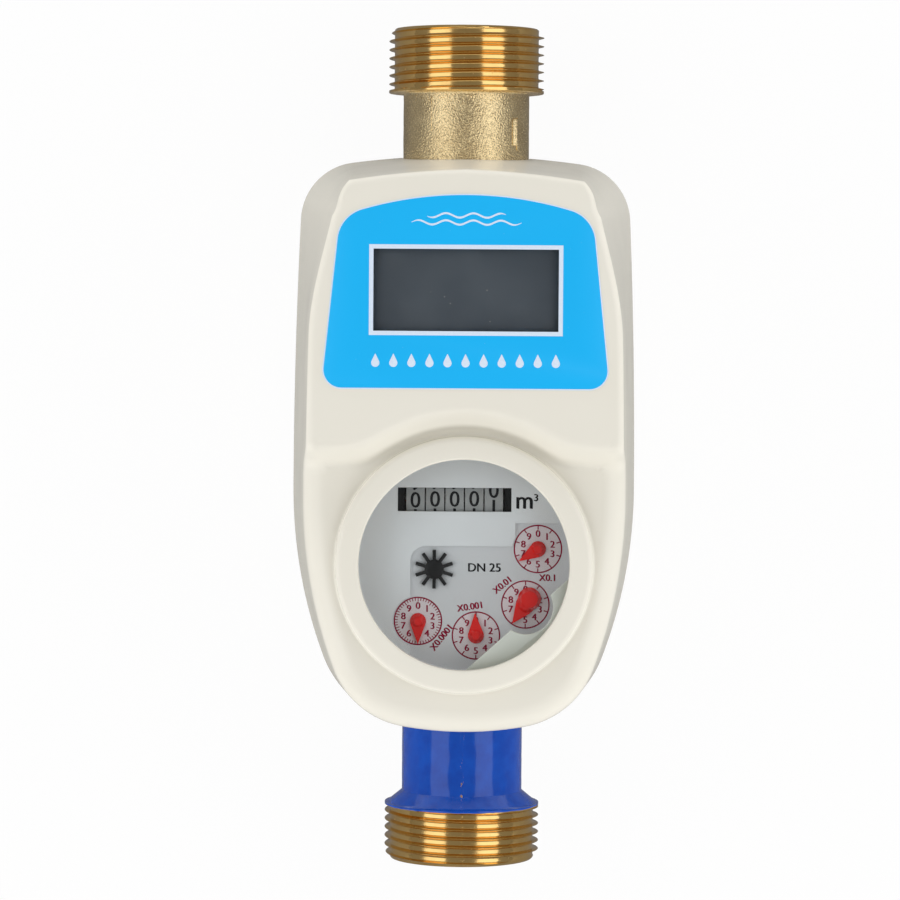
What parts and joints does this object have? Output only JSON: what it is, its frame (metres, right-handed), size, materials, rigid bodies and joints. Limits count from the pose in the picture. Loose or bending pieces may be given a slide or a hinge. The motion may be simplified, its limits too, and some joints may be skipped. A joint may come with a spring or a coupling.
{
  "type": "water meter",
  "caption": "In-line prepayment water meter: moulded casing with display label and round dial, brass ball valve and painted meter casting with threaded pipe ends.",
  "frame": {"origin": "middle of the pipe length on the casing back, in the plane of the pipe axis", "axes": "+Y along the pipe towards the valve end, +Z out of the dial, +X to the right of the dial"},
  "size_m": [0.0926, 0.225, 0.0991],
  "materials": {
    "cream_plastic": "moulded, satin gloss",
    "label_blue": "printed film",
    "clear_plastic": "clear",
    "lcd_dark": "dark display glass",
    "black_plastic": "moulded",
    "board_green": "solder mask",
    "steel": "plated",
    "cell_wrap": "shrink film",
    "blue_paint": "painted casting",
    "brass": "cast and turned",
    "rubber": "moulded",
    "white_plastic": "moulded",
    "grey_plastic": "moulded",
    "dial_white": "printed",
    "red_plastic": "moulded",
    "impeller_blue": "moulded",
    "dial_glass": "polished",
    "pale_plastic": "moulded"
  },
  "bodies": {
    "meter": {"front_cover": "cream_plastic", "rear_cover": "cream_plastic", "case_screws": "steel", "display_label": "label_blue", "display_lens": "clear_plastic", "lcd_panel": "lcd_dark", "lcd_frame": "black_plastic", "circuit_board": "board_green", "board_parts": "black_plastic", "board_screws": "steel", "battery_tray_left": "black_plastic", "battery_tray_right": "black_plastic", "battery_cells": "cell_wrap", "meter_body": "blue_paint", "valve_body": "brass", "joint_nipple": "brass", "joint_washer": "rubber", "inlet_strainer": "white_plastic", "valve_seats": "white_plastic", "stem_gland": "brass", "stem_seals": "rubber", "actuator_tray": "grey_plastic", "actuator_lid": "grey_plastic", "actuator_screws": "steel", "valve_motor": "steel", "measuring_chamber": "grey_plastic", "chamber_cover": "grey_plastic", "pivot_pin": "steel", "register_case": "grey_plastic", "dial_plate": "dial_white", "drum_shaft": "steel", "dial_glass": "dial_glass", "glass_gasket": "rubber", "locking_ring": "brass", "pulse_sensor": "pale_plastic"},
    "impeller": {"impeller": "impeller_blue"},
    "star_wheel": {"star_wheel": "black_plastic"},
    "pointer_tenths": {"pointer_tenths": "red_plastic"},
    "pointer_hundredths": {"pointer_hundredths": "red_plastic"},
    "pointer_thousandths": {"pointer_thousandths": "red_plastic"},
    "pointer_ten_thousandths": {"pointer_ten_thousandths": "red_plastic"},
    "drum_1": {"counter_drum_1": "grey_plastic"},
    "drum_2": {"counter_drum_2": "grey_plastic"},
    "drum_3": {"counter_drum_3": "grey_plastic"},
    "drum_4": {"counter_drum_4": "grey_plastic"},
    "drum_5": {"counter_drum_5": "grey_plastic"},
    "ball_valve": {"valve_ball": "steel", "valve_stem": "steel", "output_gear": "white_plastic"},
    "reduction": {"reduction_gear": "white_plastic"},
    "motor_rotor": {"motor_pinion": "white_plastic"}
  },
  "joints": [
    {"name": "impeller_spin", "type": "hinge", "parent": "meter", "child": "impeller", "pos_m": [0, -0.02865, 0.036], "axis": [0, 0, 1], "continuous": true},
    {"name": "star_spin", "type": "hinge", "parent": "meter", "child": "star_wheel", "pos_m": [-0.0077, -0.03065, 0.0802], "axis": [0, 0, 1], "continuous": true},
    {"name": "ten_thousandths_spin", "type": "hinge", "parent": "meter", "child": "pointer_ten_thousandths", "pos_m": [-0.01185, -0.04426, 0.0802], "axis": [0, 0, 1], "continuous": true},
    {"name": "thousandths_spin", "type": "hinge", "parent": "meter", "child": "pointer_thousandths", "pos_m": [0.0033, -0.04797, 0.0802], "axis": [0, 0, 1], "continuous": true},
    {"name": "hundredths_spin", "type": "hinge", "parent": "meter", "child": "pointer_hundredths", "pos_m": [0.01613, -0.03978, 0.0802], "axis": [0, 0, 1], "continuous": true},
    {"name": "tenths_spin", "type": "hinge", "parent": "meter", "child": "pointer_tenths", "pos_m": [0.0193, -0.02525, 0.0802], "axis": [0, 0, 1], "continuous": true},
    {"name": "drum_5_spin", "type": "hinge", "parent": "meter", "child": "drum_5", "pos_m": [0.0077, -0.01245, 0.0721], "axis": [1, 0, 0], "continuous": true},
    {"name": "drum_4_spin", "type": "hinge", "parent": "meter", "child": "drum_4", "pos_m": [0.0026, -0.01245, 0.0721], "axis": [1, 0, 0], "continuous": true},
    {"name": "drum_3_spin", "type": "hinge", "parent": "meter", "child": "drum_3", "pos_m": [-0.0025, -0.01245, 0.0721], "axis": [1, 0, 0], "continuous": true},
    {"name": "drum_2_spin", "type": "hinge", "parent": "meter", "child": "drum_2", "pos_m": [-0.0076, -0.01245, 0.0721], "axis": [1, 0, 0], "continuous": true},
    {"name": "drum_1_spin", "type": "hinge", "parent": "meter", "child": "drum_1", "pos_m": [-0.0127, -0.01245, 0.0721], "axis": [1, 0, 0], "continuous": true},
    {"name": "valve_turn", "type": "hinge", "parent": "meter", "child": "ball_valve", "pos_m": [0, 0.04295, 0.036], "axis": [0, 0, 1], "range_deg": [0, 90]},
    {"name": "reduction_turn", "type": "hinge", "parent": "meter", "child": "reduction", "pos_m": [-0.01732, 0.05295, 0.066], "axis": [0, 0, 1], "range_deg": [-360, 0]},
    {"name": "motor_turn", "type": "hinge", "parent": "meter", "child": "motor_rotor", "pos_m": [-0.03001, 0.04833, 0.066], "axis": [0, 0, 1], "range_deg": [0, 1440]}
  ],
  "couplings": [
    {"joint": "star_spin", "follows": "impeller_spin", "ratio": -0.25},
    {"joint": "ten_thousandths_spin", "follows": "impeller_spin", "ratio": -0.0625},
    {"joint": "thousandths_spin", "follows": "impeller_spin", "ratio": -0.00625},
    {"joint": "hundredths_spin", "follows": "impeller_spin", "ratio": -0.000625},
    {"joint": "tenths_spin", "follows": "impeller_spin", "ratio": -0.0000625},
    {"joint": "drum_5_spin", "follows": "impeller_spin", "ratio": -0.00000625},
    {"joint": "drum_4_spin", "follows": "impeller_spin", "ratio": -0.000000625},
    {"joint": "drum_3_spin", "follows": "impeller_spin", "ratio": -0.0000000625},
    {"joint": "drum_2_spin", "follows": "impeller_spin", "ratio": -0.00000000625},
    {"joint": "drum_1_spin", "follows": "impeller_spin", "ratio": -0.000000000625},
    {"joint": "reduction_turn", "follows": "valve_turn", "ratio": -4},
    {"joint": "motor_turn", "follows": "valve_turn", "ratio": 16}
  ]
}
